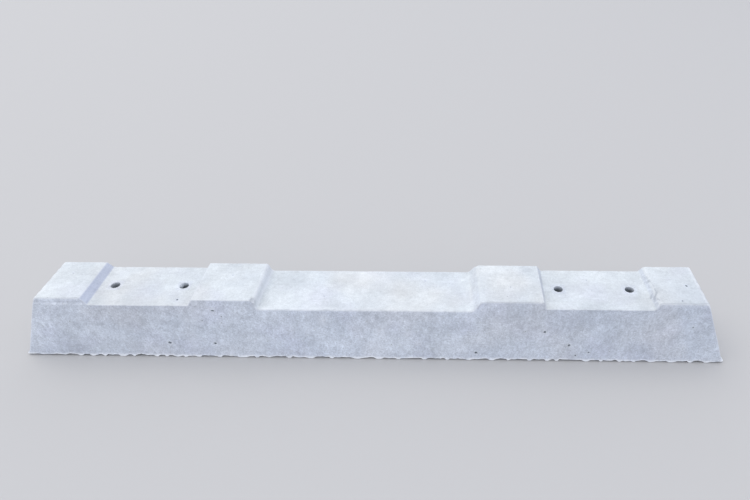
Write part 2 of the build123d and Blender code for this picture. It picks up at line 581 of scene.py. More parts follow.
# three of the cross edges run a little out of square
v_here = np.clip(Y / 124.0, -0.5, 0.5)
high = smooth(90, 128, Z)
w = smooth(-655, -599, X) * (1 - smooth(-590, -573, X)) * high
P[:, 0] += (1.4 + 2.4 * (0.5 - v_here)) * w * (1 - smooth(137, 148, Z))
w = smooth(196, 219, X) * (1 - smooth(238, 285, X)) * high
P[:, 0] -= 5.5 * w * (0.5 + v_here)
w = smooth(573, 590, X) * (1 - smooth(600, 640, X)) * high
P[:, 0] += (1.8 * (0.5 - v_here) - 0.8 * (0.5 + v_here)) * w
# the left slope is steeper than the right one, more so at the front
w = smooth(-262, -232, X) * (1 - smooth(-212, -168, X)) * high
P[:, 0] -= (6.2 + 3.3 * smooth(25, -25, Y)) * w * (1 - smooth(130, 147, Z))
# and so is the step down to the right seat, towards the front
w = smooth(352, 364, X) * (1 - smooth(376, 388, X)) * high
P[:, 0] -= 3.8 * (0.5 - v_here) * w * (1 - smooth(136, 147, Z))
# and the ends were struck off a little unevenly
P[:, 0] += 1.7 * smooth(600, 660, np.abs(X)) * (1 - 0.5 * smooth(60, 10, Z) * (X > 0))

# The underside was the open face of the mould: its edges are ragged, with
# a crust of run-out laitance that hangs down to the ground in tongues.
across_end = (END_B - END_SLOPE * Z - np.abs(X)) < (half_width(Z) - np.abs(Y))
along = np.where(across_end, np.where(X > 0, END_B - 900.0 + Y + HALF_B, -END_B - 900.0 - Y - HALF_B), X + side_sign * 900.0)
back_corner = smooth(22, 5, np.hypot(END_B - np.abs(X), np.clip(HALF_B - Y, 0, None)))
lively = np.clip(0.75 + 0.9 * line_noise(along, 97.0, 50), 0.15, 1.5)
ragged = (3.9 + 3.0 * line_noise(along, 43.0, 51) + lively
          * (2.6 * line_noise(along, 19.3, 52) + 2.4 * line_noise(along, 11.7, 56) + 1.8 * line_noise(along, 7.9, 53)
             + 1.3 * np.abs(line_noise(along, 4.3, 54))))
tongue = np.zeros(len(P))
for s, places in ((-1, [(-640, 6), (-610, 8), (-585, 4), (-545, 9), (-520, 4), (-470, 5), (-447, 4), (-423, 8), (-405, 4), (-377, 6),
                        (-330, 5), (-280, 12), (-248, 4), (-178, 5), (-130, 9), (-84, 4), (-30, 10), (20, 9), (62, 4), (118, 6),
                        (168, 4), (214, 6), (265, 9), (300, 4), (346, 5), (384, 6), (405, 4), (467.7, 7), (500, 4), (540, 5),
                        (570, 4), (606.7, 8), (650, 9), (690, 6), (725, 7)]),
                  (1, [(-700, 8), (-640, 5), (-560, 9), (-500, 4), (-450, 6), (-380, 4), (-300, 8), (-235, 4), (-120, 12), (-40, 5),
                       (60, 6), (130, 4), (210, 8), (280, 4), (330, 6), (400, 4), (480, 10), (545, 4), (610, 7), (690, 6)])):
    for x, w in places:
        wave = 0.35 * w * line_noise(along, 6.3, 57)
        tongue = np.maximum(tongue, np.exp(-((X + wave - x) / w) ** 4) * (side_sign == s))
for s, places in ((-1, [(-58, 5), (-12, 8), (38, 6)]), (1, [(-48, 6), (8, 9), (50, 5)])):
    for y, w in places:
        tongue = np.maximum(tongue, np.exp(-((Y - y) / w) ** 4) * across_end * (np.sign(X) == s))
ragged = np.clip(ragged, 0.5, 9.5) * (1 - tongue) + 0.05 * tongue
ragged = ragged * (1 - back_corner) + 2.0 * back_corner
rise_side = np.clip(1 - Z / 15.0, 0, 1) ** 2
inward = np.clip(np.minimum(HALF_B - np.abs(Y), END_B - np.abs(X)), 0, None)
crust = np.exp(-inward / 4.0)
base_z = 2.6 + 1.1 * noise(P0, (46, 30, 30), 61) + 1.1 * noise(P0, (19, 15, 15), 62) + 0.3 * noise(P0, (6, 6, 6), 63)
P[:, 2] += ragged * rise_side * (1 - is_under) + is_under * (ragged * crust + np.maximum(base_z, 0.3) * (1 - crust))
lip = 0.5 + 0.85 * tongue + 0.6 * np.clip(line_noise(along, 20.0, 55) + 0.3, 0, 1) + 0.25 * line_noise(along, 5.0, 56)
lip_mask = np.exp(-(Z / 3.0) ** 2) * (1 - is_under * 0.5)
on_long = (np.abs(Y) > half_width(Z) - 3).astype(float)
on_end = (END_B - END_SLOPE * Z - np.abs(X) < 3).astype(float)
P[:, 1] += side_sign * lip * lip_mask * on_long
P[:, 0] += np.sign(X) * lip * lip_mask * on_end
lip_paint = np.exp(-((Z - 1.0) / 4.0) ** 2) * (1 - is_under) * np.maximum(on_long, on_end)

# never outside the CAD solid's box
lo, hi = np.array(cad_lo) / MM, np.array(cad_hi) / MM
P = np.clip(P, lo + 0.02, hi - 0.02)

# soft marks: darker smudges and lighter bloom, placed on the front and the top
stain_and_painted_light = np.zeros(len(P))
broken = 0.55 + 0.45 * noise(P0, 7.0, 201) + 0.35 * noise(P0, 3.4, 202)
for x, z, rx, rz, amount in [(-648, 18, 34, 19, -1.6), (-636, 93, 7, 6, -0.8), (-572, 103, 8, 22, -0.5), (-516, 90, 16, 19, -0.7),
                             (-434, 91, 10, 9, -0.8), (-460, 121, 6, 6, -0.6), (-441, 121, 6, 6, -0.6), (-327, 129.5, 7, 3.2, 1.5), (-322, 115.5, 6, 2.8, 1.3),
                             (-382, 58, 14, 40, 0.5), (-94, 103, 11, 15, 0.9), (-117, 95, 6, 22, -0.6), (25, 74, 11, 10, 0.8),
                             (48, 115, 12, 9, -0.7), (82, 69, 11, 12, 0.9), (79, 115, 12, 11, -0.8), (104.5, 43.7, 5, 6, 1.3),
                             (154, 91, 42, 11, -0.7), (192, 60, 7, 14, -0.6), (309, 120, 42, 24, -0.9), (426, 104, 40, 16, -0.8),
                             (510, 115, 12, 11, -0.7), (607, 94, 12, 16, -0.7), (687, 85, 9, 27, -0.6), (540, 60, 18, 30, 0.4)]:
    d = ((X - x) / rx) ** 2 + ((Z - z) / rz) ** 2
    stain_and_painted_light += amount * np.exp(-d) * (side_sign < 0) * is_side * broken
for x, z, rx, rz, amount in [(-520, 70, 40, 30, -0.6), (-250, 40, 60, 20, -0.7), (120, 95, 50, 18, -0.7), (420, 60, 25, 40, 0.6),
                             (620, 30, 40, 20, -0.8), (-80, 60, 20, 25, 0.8)]:
    d = ((X - x) / rx) ** 2 + ((Z - z) / rz) ** 2
    stain_and_painted_light += amount * np.exp(-d) * (side_sign > 0) * is_side * broken
# darker just under the top edges, and low on the broken strip
under_edge = np.exp(-((fB + 3.4) / 1.9) ** 2) * is_side * (Z > 60)
stain_and_painted_light -= 0.45 * under_edge * np.clip(0.7 + 0.6 * noise(P0, (16, 9, 9), 205), 0, 1.2)
stain_and_painted_light -= 0.50 * strip_here * np.exp(-((Z - 140.3) / 2.4) ** 2)
# painted shade and painted light on the faces that slope down to the left seat and up from the waist, by which way each
# faces the light: the right slope darker, the left slope lighter
tilted = smooth(0.97, 0.80, N[:, 2]) * (Z > 125) * (np.abs(Y) < half_width(Z) - 1.0) * (N[:, 2] > 0.3)
stain_and_painted_light -= tilted * 0.15 * smooth(214, 224, X) * (X < 242)
steep = smooth(0.88, 0.62, N[:, 2]) * (Z > 125) * (N[:, 2] > 0.3)
stain_and_painted_light += (tilted * 0.40 + steep * 0.50) * (X > -244) * (X < -216) * smooth(-59, -52, Y)
# a painted shadow in the deep chip at the left slope's front corner
stain_and_painted_light -= 0.55 * np.exp(-((X + 237) / 8) ** 2 - ((Y + 58) / 6) ** 2) * (Z > 125)
# the steep step down to the right seat, facing away from the light, painted darker as shade
stain_and_painted_light -= 0.55 * steep * (X > 356) * (X < 380)
# the left outer bevel is painted darker, for dirt and shade, and bluish as painted sky shade
stain_and_painted_light -= tilted * 0.90 * (X < -586) * (X > -604)
bevel_sky_shade = tilted * (X < -586) * (X > -604)
on_top = smooth(0.7, 0.95, N[:, 2])
for x, y, rx, ry, amount in [(650, -20, 60, 60, -0.25), (40, 20, 45, 40, -0.3), (-20, 45, 40, 14, 0.5), (-660, -20, 40, 40, -0.2)]:
    d = ((X - x) / rx) ** 2 + ((Y - y) / ry) ** 2
    stain_and_painted_light += amount * np.exp(-d) * on_top


def broad_tone(p):
    """Broad lighter and darker areas of the front and the top, about -1 to 1."""
    x, y, z = p[:, 0], p[:, 1], p[:, 2]
    front = smooth(7, 3, y + half_width(z))
    out = np.zeros(len(p))
    for x0, z0, rx, rz, amount in [(-150, 65, 100, 90, 0.8), (0, 65, 170, 90, 0.5), (-405, 14, 48, 18, -0.8), (-340, 115, 70, 28, 0.5),
                                   (375, 105, 32, 30, -0.5), (520, 115, 30, 25, -0.6), (520, 35, 32, 18, 0.5), (572, 65, 24, 16, 0.6),
                                   (650, 112, 50, 35, 0.4)]:
        out += amount * np.exp(-((x - x0) / rx) ** 2 - ((z - z0) / rz) ** 2) * front
    for x0, y0, rx, ry, amount in [(285, 0, 64, 80, 0.45), (20, 0, 190, 90, 0.4)]:
        out += amount * np.exp(-((x - x0) / rx) ** 2 - ((y - y0) / ry) ** 2) * (1 - front) * (z > 118)
    return out * (0.9 + 0.4 * noise(p, 38.0, 221))


# laitance along the waist's front edge
bloom = (smooth(0.2, 0.7, N[:, 2]) * smooth(13, 4, Y + half_width(Z)) * (1 - smooth(208, 226, np.abs(X)))
         * (0.20 - 0.14 * smooth(-70, 60, X)) * np.clip(0.6 + 1.1 * noise(P0, (12, 5, 5), 210) + 0.7 * noise(P0, 4.2, 211), 0, 1.1))
bloom = np.maximum(bloom, lip_paint * np.clip(0.62 + 0.45 * tongue + 0.8 * line_noise(along, 12.0, 212)
                                              + 0.4 * line_noise(along, 5.0, 213), 0, 1))
ledge = strip_here * np.exp(-((Z - 136.6) / 1.0) ** 2)
bloom = np.maximum(bloom, ledge * np.clip(0.1 + 0.4 * line_noise(X, 9.0, 214), 0, 1))
# and a pale rim along the right end's top edge
rim = np.exp(-((fB + 1.0) / 1.6) ** 2) * smooth(END_T - 7, END_T - 3, np.abs(X)) * (Z > 138)
bloom = np.maximum(bloom, rim * np.clip(0.5 + 0.5 * line_noise(Y, 9.0, 215), 0, 1) * np.where(X > 0, 0.8, 0.4))

# =========================================================================
# 5. Bolt holes and blow holes
# =========================================================================

n0 = len(P)
new_v, new_hole_shade, new_chip, new_f = [], [], [], []


# hole carries the painted shade inside the bolt holes and blow holes, darker with depth
def push(points, hole=0.0, chipped=0.0):
    start = n0 + sum(len(a) for a in new_v)
    points = np.asarray(points, float)
    new_v.append(points)
    new_hole_shade.append(np.broadcast_to(np.asarray(hole, float), (len(points),)).copy())
    new_chip.append(np.broadcast_to(np.asarray(chipped, float), (len(points),)).copy())
    return start + np.arange(len(points))


def bridge(a, b):
    """Quads between two rings of the same count."""
    m = len(a)
    for k in range(m):
        new_f.append((int(a[k]), int(a[(k + 1) % m]), int(b[(k + 1) % m]), int(b[k])))


# worn mouths: angle in degrees, spread, extra radius, extra depth
SPALLS = {0: [(205, 34, 0.9, 2.4)], 1: [(140, 40, 1.6, 3.6), (330, 26, 0.5, 1.2)],
          2: [(95, 40, 0.6, 2.0)], 3: [(20, 30, 0.5, 1.6)]}
LUMPS = {1: (158, 30, 3.6)}       # mortar left in a mouth: angle, spread, size
for h, hx in enumerate(HOLES):
    ring = hole_rings["top"][h]
    base = P[ring]
    ang = np.arctan2(base[:, 1], base[:, 0] - hx)
    cs = np.column_stack([np.cos(ang), np.sin(ang)])
    extra_r, extra_d = np.zeros(len(ring)), np.zeros(len(ring))
    for a, spread, er, ed in SPALLS[h]:
        w = np.exp(-(((np.degrees(ang) - a + 180) % 360 - 180) / spread) ** 2)
        extra_r += er * w
        extra_d += ed * w
    jag = 0.22 * noise(np.column_stack([cs * 14.0, np.full(len(ring), 40.0 * h)]), 5.0, 81) - 0.35 * cs[:, 1] ** 2
    # less painted shade on the upper part of the wall across from the front, where light reaches in
    far = np.clip(cs[:, 1] - 0.2, 0, 1)       # the wall across from the front is paler at the top
    la, ls, lr = LUMPS.get(h, (0, 1, 0.0))
    lump = lr * np.exp(-(((np.degrees(ang) - la + 180) % 360 - 180) / ls) ** 2)
    clean = 1 - np.clip(lump / 2.2, 0, 1)
    z_seat = base[:, 2].mean()
    radius = np.linalg.norm(base[:, :2] - [hx, 0], axis=1)
    mouth = HOLE_R + 0.1 + extra_r + jag
    prev = ring
    for t in (0.34, 0.66, 0.88):
        rr = radius * (1 - t) + mouth * t
        ids = push(np.column_stack([hx + cs[:, 0] * rr, cs[:, 1] * rr, base[:, 2] * (1 - t) + z_seat * t]))
        bridge(prev, ids)
        prev = ids
    # the last number of each ring is the painted shade on the bolt hole's wall, darkening with depth
    for rr, dz, dark in ((mouth, 0.05, 0.0), (mouth - 0.35 - 0.2 * extra_r, 0.35, 0.12 - 0.1 * far),
                         (HOLE_R - 0.3 + 0.65 * extra_r + 0.8 * jag - 0.25 * lump, 1.0 + 0.25 * extra_d, (0.3 - 0.25 * far) * clean),
                         (HOLE_R - 0.4 + 0.40 * extra_r + 0.7 * jag - 0.85 * lump, 2.2 + 0.6 * extra_d, (0.45 - 0.35 * far) * clean),
                         (HOLE_R - 0.45 + 0.15 * extra_r + 0.5 * jag - lump, 4.0 + extra_d, (0.6 - 0.25 * far) * clean)):
        ids = push(np.column_stack([hx + cs[:, 0] * rr, cs[:, 1] * rr, z_seat - dz + 0 * ang]), dark,
                   np.clip(extra_r / 1.5, 0, 1))
        bridge(prev, ids)
        prev = ids
    for depth in (10, 14, 19, 26, 35, 46, 60, 76, 94, 112, 124):
        rr = HOLE_R - 0.45 + 0.16 * noise(np.column_stack([cs * 10, np.full(len(ring), depth + 100.0 * h)]), 7.0, 82)
        rr = rr - lump * max(0.0, 1 - (depth - 8.0) / 8.0)
        ids = push(np.column_stack([hx + cs[:, 0] * rr, cs[:, 1] * rr, z_seat - depth + 0 * ang]),
                   min(1.0, 0.6 + depth / 50.0))
        bridge(prev, ids)
        prev = ids
    # the underside's ring of vertices starts at the same corner
    low = hole_rings["foot"][h]
    lbase = P[low]
    lang = np.arctan2(lbase[:, 1], lbase[:, 0] - hx)
    lcs = np.column_stack([np.cos(lang), np.sin(lang)])
    rad0 = np.linalg.norm(lbase[:, :2] - [hx, 0], axis=1)
    out_prev = low
    for t in (0.34, 0.68, 1.0):
        rr = rad0 * (1 - t) + (HOLE_R + 0.8 + 0.4 * noise(np.column_stack([lcs * 12, np.full(len(low), 7.0 * h)]), 6.0, 84)) * t
        ids = push(np.column_stack([hx + lcs[:, 0] * rr, lcs[:, 1] * rr, lbase[:, 2] * (1 - t) + 2.4 * t]), 0.3 * t)
        bridge(ids, out_prev)
        out_prev = ids
    ids = push(np.column_stack([hx + cs[:, 0] * (HOLE_R - 0.35), cs[:, 1] * (HOLE_R - 0.35), np.full(len(ring), 4.2)]), 1.0)
    bridge(prev, ids)
    bridge(ids, out_prev)

# blow holes: a patch of faces comes out, and a little cup goes in
centre_of = np.array([P[list(f)].mean(0) for f in faces])
normal_of = np.array([np.cross(P[f[1]] - P[f[0]], P[f[2]] - P[f[0]]) for f in faces])
normal_of /= np.maximum(np.linalg.norm(normal_of, axis=1), 1e-12)[:, None]
alive = np.ones(len(faces), bool)
blocked = np.zeros(len(P), bool)
for name in hole_rings:
    for r in hole_rings[name]:
        blocked[r] = True
cups = 0


def cup(c, n, radius, depth, slant=0.0, stretch=1.0):
    """Cuts one blow hole at c on a face whose outward normal is about n, stretched along the face if asked."""
    global cups
    c, n = np.array(c, float), np.array(n, float)
    level = np.cross(n, [0.0, 0.0, 1.0] if abs(n[2]) < 0.9 else [1.0, 0.0, 0.0])
    level /= np.linalg.norm(level)
    near = np.nonzero(alive & (((centre_of - c) ** 2).sum(1) < (radius * stretch * 1.6 + 14.0) ** 2) & (normal_of @ n > 0.8))[0]
    if len(near) < 9:
        return
    reach = radius * 1.55 + 0.4
    out = []
    for f in near:
        d = P[list(faces[f])] - c
        d = d - np.outer(d @ n, n)
        d = d - np.outer(d @ level, level) * (1 - 1 / stretch)
        m = len(d)
        for k in range(m):
            a, b = d[k], d[(k + 1) % m]
            ab = b - a
            t = np.clip(-(a @ ab) / max(ab @ ab, 1e-12), 0, 1)
            q = a + t * ab
            if q @ q < reach * reach:
                out.append(f)
                break
        else:
            # the centre may lie inside one large face
            inside = all(np.cross(d[(k + 1) % m] - d[k], -d[k]) @ n > 0 for k in range(m))
            if inside:
                out.append(f)
    if not out:
        return
    nxt = {}
    half = set()
    for f in out:
        vs = faces[f]
        for k in range(len(vs)):
            half.add((vs[k], vs[(k + 1) % len(vs)]))
    for a, b in half:
        if (b, a) not in half:
            if a in nxt:
                return
            nxt[a] = b
    start = next(iter(sorted(nxt)))
    loop, v = [start], nxt[start]
    while v != start:
        loop.append(v)
        v = nxt.get(v)
        if v is None or len(loop) > 200:
            return
    if len(loop) != len(nxt) or blocked[loop].any():
        return
    loop = np.array(loop)
    L = P[loop]
    mid = L.mean(0)
    nn = np.zeros(3)
    for k in range(len(loop)):
        nn += np.cross(L[k] - mid, L[(k + 1) % len(loop)] - mid)
    nn /= np.linalg.norm(nn)
    if nn @ n < 0.8:
        return
    e1 = np.cross(nn, [0.0, 0.0, 1.0] if abs(nn[2]) < 0.9 else [1.0, 0.0, 0.0])
    e1 /= np.linalg.norm(e1)
    e2 = np.cross(nn, e1)
    o = c - ((c - mid) @ nn) * nn
    ang = np.arctan2((L - o) @ e2, (L - o) @ e1 / stretch)
    k0 = int(np.argmin(ang))
    loop, ang = np.roll(loop, -k0), np.roll(ang, -k0)
    if (np.diff(ang) <= 1e-4).any():
        return
    m = 8 if radius < 0.9 else (10 if radius < 1.6 else 12)
    ra = ang[0] + 2 * math.pi * np.arange(m) / m
    dirs = np.cos(ra)[:, None] * e1 * stretch + np.sin(ra)[:, None] * e2
    wob = 1 + 0.13 * rng.uniform(-1, 1, m)
    tilt = 1 + slant * np.cos(ra)
    # the numbers given to the rings below are the painted shade inside the blow hole, darker towards its bottom
    collar = push(o + dirs * (radius * 1.42 * wob)[:, None])
    rim = push(o + dirs * (radius * 1.08 * wob)[:, None] - nn * 0.06, 0.15)
    wall = push(o + dirs * (radius * 0.88 * wob)[:, None] - nn * depth * 0.5, 0.7)
    low = push(o + dirs * (radius * 0.50 * wob * tilt)[:, None] - nn * depth * 0.92, 0.95)
    tip = push([o - nn * depth], 1.0)
    ta = np.concatenate([ang, [ang[0] + 2 * math.pi]])
    tb = np.concatenate([ra, [ra[0] + 2 * math.pi]])
    a_ids, b_ids = np.concatenate([loop, loop[:1]]), np.concatenate([collar, collar[:1]])
    count = len(faces)
    zipper(a_ids, ta, b_ids, tb)
    made = faces[count:]
    del faces[count:]
    new_f.extend(made)
    bridge(collar, rim)
    bridge(rim, wall)
    bridge(wall, low)
    for k in range(m):
        new_f.append((int(low[k]), int(low[(k + 1) % m]), int(tip[0])))
    alive[out] = False
    blocked[loop] = True
    cups += 1


def on_side(x, z, s):
    return [x, s * half_width(z), z], [0, s * math.cos(SIDE_TILT), math.sin(SIDE_TILT)]


# the ones that show on the front and the top
for x, z, r, d in [(-434.0, 37.2, 3.6, 5.0), (-334.5, 36.8, 2.9, 4.0), (372.6, 76.2, 2.9, 4.2), (229.8, 19.6, 3.1, 3.8),
                   (427.2, 42.0, 2.8, 3.4), (443.6, 15.0, 1.9, 2.2), (470.9, 24.0, 1.9, 2.4), (678.0, 92.5, 1.6, 1.9),
                   (-308.0, 108.0, 1.5, 1.8), (-350.6, 97.2, 1.3, 1.4), (-310.5, 92.0, 1.0, 1.0), (-636.0, 92.0, 1.2, 1.2)]:
    cup(*on_side(x, z, -1), r, d)
cup(*on_side(-323.5, 122.5, -1), 1.6, 1.5, 0.2, 2.4)
for x, y, z, r, d in [(-402.5, -45.0, SEAT, 2.3, 1.7), (671.4, -3.0, HEIGHT, 2.6, 2.8), (647.5, -50.5, HEIGHT, 1.7, 1.8),
                      (-655.0, 22.0, HEIGHT, 1.1, 1.2), (118.0, 31.0, WAIST, 1.1, 1.1), (-96.0, -22.0, WAIST, 1.0, 1.0),
                      (-300.0, 18.0, HEIGHT, 1.0, 1.0), (300.0, -12.0, HEIGHT, 1.1, 1.0), (470.0, 30.0, SEAT, 1.0, 1.0)]:
    cup([x, y, z], [0, 0, 1], r, d)
# and the rest, smaller on the front than at the back and the ends
for s, count, biggest in ((-1, 70, 1.0), (1, 110, 2.3)):
    for _ in range(count):
        z = rng.uniform(18, 118)
        x = rng.uniform(-1, 1) * (END_B - END_SLOPE * z - 20)
        r = 0.45 + (biggest - 0.45) * rng.rand() ** 2.6
        cup(*on_side(x, z, s), r, r * rng.uniform(0.8, 1.3), rng.uniform(-0.3, 0.3))
for s in (-1, 1):
    for _ in range(22):
        z = rng.uniform(20, 128)
        y = rng.uniform(-1, 1) * (half_width(z) - 16)
        r = 0.5 + 1.5 * rng.rand() ** 2.2
        tilt = math.atan(END_SLOPE)
        cup([s * (END_B - END_SLOPE * z), y, z], [s * math.cos(tilt), 0, math.sin(tilt)], r, r * rng.uniform(0.8, 1.3))

faces = [f for f, a in zip(faces, alive) if a] + new_f
V = np.concatenate([P] + new_v)
pad = np.zeros(len(V) - n0)
attrs = {
    "edge": np.concatenate([edge_mask, pad]), "bloom": np.concatenate([bloom, pad]),
    "side": np.concatenate([is_side, pad + 0.5]), "under": np.concatenate([is_under, pad]),
    "stain_and_painted_light": np.concatenate([stain_and_painted_light, pad]), "bevel_sky_shade": np.concatenate([bevel_sky_shade, pad]), "scar": np.concatenate([scar, pad]),
    # hole: painted shade inside the bolt holes and blow holes
    "hole": np.concatenate([np.zeros(n0)] + new_hole_shade), "chip": np.concatenate([chip] + new_chip),
    "tone": broad_tone(V),
}
used = np.zeros(len(V), bool)
used[np.concatenate([np.array(f) for f in faces])] = True
remap = np.cumsum(used) - 1
faces = [tuple(int(remap[v]) for v in f) for f in faces]
V = V[used]

# the skin must be closed: every edge has one face on each side
half_edges = {}
for f in faces:
    for k in range(len(f)):
        e = (f[k], f[(k + 1) % len(f)])
        half_edges[e] = half_edges.get(e, 0) + 1
open_edges = sum(1 for a, b in half_edges if (b, a) not in half_edges)
doubled = sum(1 for n in half_edges.values() if n > 1)

me = bpy.data.meshes.new("sleeper_cast")
me.from_pydata((V * MM).tolist(), [], faces)
me.update()
for name, a in attrs.items():
    at = me.attributes.new(name, "FLOAT", "POINT")
    at.data.foreach_set("value", a[used].astype(np.float32))
me.polygons.foreach_set("use_smooth", [True] * len(me.polygons))
me.update()
sleeper = bpy.data.objects.new("sleeper_cast", me)
bpy.context.scene.collection.objects.link(sleeper)

tri = np.array([(f[0], f[k], f[k + 1]) for f in faces for k in range(1, len(f) - 1)])
a, b, c = V[tri[:, 0]], V[tri[:, 1]], V[tri[:, 2]]
print("sleeper mesh:", len(V), "vertices", len(tri), "triangles, volume",
      round(float((np.cross(a, b) * c).sum() / 6e9), 5), "m3, blow holes", cups,
      "open edges", open_edges, "doubled", doubled)

# =========================================================================
# 6. Concrete
# =========================================================================

mat = bpy.data.materials.new("cast_concrete")
mat.use_nodes = True
nt = mat.node_tree
nt.nodes.clear()


def node(kind, **props):
    n = nt.nodes.new(kind)
    for k, v in props.items():
        setattr(n, k, v)
    return n


def link(a, b):
    nt.links.new(a, b)


def attr(name):
    return node("ShaderNodeAttribute", attribute_name=name, attribute_type="GEOMETRY").outputs["Fac"]


def math_node(op, a, b=None, clamp=False):
    n = node("ShaderNodeMath", operation=op, use_clamp=clamp)
    for k, v in enumerate((a, b)):
        if v is None:
            continue
        if isinstance(v, (int, float)):
            n.inputs[k].default_value = v
        else:
            link(v, n.inputs[k])
    return n.outputs[0]


def map_range(v, a, b, c=0.0, d=1.0):
    n = node("ShaderNodeMapRange", clamp=True)
    link(v, n.inputs["Value"])
    for k, x in (("From Min", a), ("From Max", b), ("To Min", c), ("To Max", d)):
        n.inputs[k].default_value = x
    return n.outputs["Result"]


def mix(fac, a, b):
    n = node("ShaderNodeMix", data_type="RGBA")
    if isinstance(fac, (int, float)):
        n.inputs[0].default_value = fac
    else:
        link(fac, n.inputs[0])
    for sock, v in ((n.inputs[6], a), (n.inputs[7], b)):
        if isinstance(v, tuple):
            sock.default_value = (*v, 1.0)
        else:
            link(v, sock)
    return n.outputs[2]


coord = node("ShaderNodeTexCoord").outputs["Object"]


def mapped(scale, offset=(0, 0, 0)):
    n = node("ShaderNodeMapping")
    link(coord, n.inputs["Vector"])
    n.inputs["Scale"].default_value = scale
    n.inputs["Location"].default_value = offset
    return n.outputs["Vector"]


def tex_noise(vec, scale, detail=4.0, rough=0.55, distortion=0.0):
    n = node("ShaderNodeTexNoise")
    link(vec, n.inputs["Vector"])
    n.inputs["Scale"].default_value = scale
    n.inputs["Detail"].default_value = detail
    n.inputs["Roughness"].default_value = rough
    n.inputs["Distortion"].default_value = distortion
    return n.outputs["Fac"]


def voronoi(vec, scale):
    n = node("ShaderNodeTexVoronoi", feature="F1")
    link(vec, n.inputs["Vector"])
    n.inputs["Scale"].default_value = scale
    return n


a_edge, a_bloom, a_scar = attr("edge"), attr("bloom"), attr("scar")
a_side, a_hole_shade, a_chip, a_under, a_stain_and_painted_light = attr("side"), attr("hole"), attr("chip"), attr("under"), attr("stain_and_painted_light")

plain = mapped((1, 1, 1))
clouds = tex_noise(plain, 8.0, 5.0, 0.55)
tint = tex_noise(mapped((1, 1, 1), (3.1, 0.7, 1.9)), 11.0, 3.0, 0.5)
warm = tex_noise(mapped((1, 1, 1), (7.7, 2.2, 0.4)), 7.0, 2.0, 0.5)
mottle = tex_noise(plain, 62.0, 6.0, 0.62, 0.4)
curd = tex_noise(mapped((1, 1, 1), (0.3, 5.1, 2.2)), 135.0, 4.0, 0.6, 1.2)
streak = tex_noise(mapped((1.0, 1.0, 0.38), (0.4, 1.3, 0)), 150.0, 5.0, 0.62)
fine = tex_noise(mapped((1, 1, 1), (2.9, 6.1, 0.8)), 430.0, 3.0, 0.6)
patches = tex_noise(mapped((1, 1, 1), (4.2, 1.1, 8.8)), 34.0, 4.0, 0.6, 0.6)
brush = tex_noise(mapped((0.28, 1.0, 1.0), (1.4, 0.3, 0)), 150.0, 4.0, 0.6)
grain = tex_noise(mapped((1, 1, 1), (9.1, 3.3, 4.7)), 290.0, 5.0, 0.7)
dust = tex_noise(plain, 700.0, 3.0, 0.6)

base = mix(map_range(clouds, 0.32, 0.70), (0.552, 0.598, 0.665), (0.646, 0.688, 0.743))
base = mix(map_range(tint, 0.50, 0.72, 0.0, 0.55), base, (0.575, 0.600, 0.700))
base = mix(map_range(warm, 0.50, 0.72, 0.0, 0.45), base, (0.640, 0.640, 0.655))


def shade(col, v, low, high, lo=0.30, hi=0.70, amount=None):
    """Multiplies col by low..high as v goes from lo to hi."""
    f = map_range(v, lo, hi, low, high)
    n = node("ShaderNodeMix", data_type="RGBA", blend_type="MULTIPLY")
    if amount is None:
        n.inputs[0].default_value = 1.0
    else:
        link(amount, n.inputs[0])
    link(col, n.inputs[6])
    comb = node("ShaderNodeCombineColor")
    for k in range(3):
        link(f, comb.inputs[k])
    link(comb.outputs[0], n.inputs[7])
    return n.outputs[2]


lines = node("ShaderNodeMix", data_type="FLOAT")
link(a_side, lines.inputs[0])
link(brush, lines.inputs[2])
link(streak, lines.inputs[3])
lines = lines.outputs[0]
# the sides are rougher in tone than the smooth top, which lay against the steel
tone = map_range(a_side, 0.0, 1.0, 0.48, 1.0)
base = shade(base, patches, 0.945, 1.05, amount=map_range(a_side, 0.0, 1.0, 0.8, 1.0))
base = shade(base, tex_noise(mapped((1, 1, 1), (1.7, 4.4, 6.6)), 17.0, 2.0, 0.5), 0.950, 1.048, 0.35, 0.65)
base = shade(base, attr("tone"), 0.90, 1.10, -1.0, 1.0)
base = shade(base, mottle, 0.91, 1.08, amount=map_range(a_side, 0.0, 1.0, 0.6, 1.0))
base = shade(base, lines, 0.92, 1.07, amount=tone)
base = shade(base, curd, 0.88, 1.12, 0.32, 0.68, amount=tone)
base = shade(base, grain, 0.86, 1.13, 0.30, 0.70, amount=tone)
base = shade(base, fine, 0.89, 1.10, 0.30, 0.70, amount=tone)
base = shade(base, dust, 0.95, 1.05)

# the underside, struck off by hand, is blotchier
base = shade(base, tex_noise(mapped((1, 1, 1), (8.3, 2.7, 0.1)), 46.0, 6.0, 0.68, 0.8), 0.72, 1.10, 0.32, 0.66, amount=a_under)

# painted light: the top is painted a touch warmer, and the sides a touch darker and bluer, as warm light falls on the
# top and bluish shade on the sides
light_tint = node("ShaderNodeMix", data_type="RGBA", blend_type="MULTIPLY")
light_tint.inputs[0].default_value = 1.0
link(base, light_tint.inputs[6])
link(mix(a_side, (1.0, 1.0, 0.945), (0.976, 0.982, 0.988)), light_tint.inputs[7])
base = light_tint.outputs[2]

# pale specks in the skin of the sides
fleck = voronoi(mapped((1, 1, 1), (5.5, 0.9, 3.7)), 250.0)
fsep = node("ShaderNodeSeparateColor")
link(fleck.outputs["Color"], fsep.inputs[0])
fsize = map_range(fsep.outputs[1], 0.90, 1.0, 0.0, 0.42)
spot = math_node("MULTIPLY", map_range(math_node("SUBTRACT", fsize, fleck.outputs["Distance"]), 0.0, 0.10), a_side)
base = mix(math_node("MULTIPLY", spot, 0.40), base, (0.84, 0.86, 0.90))

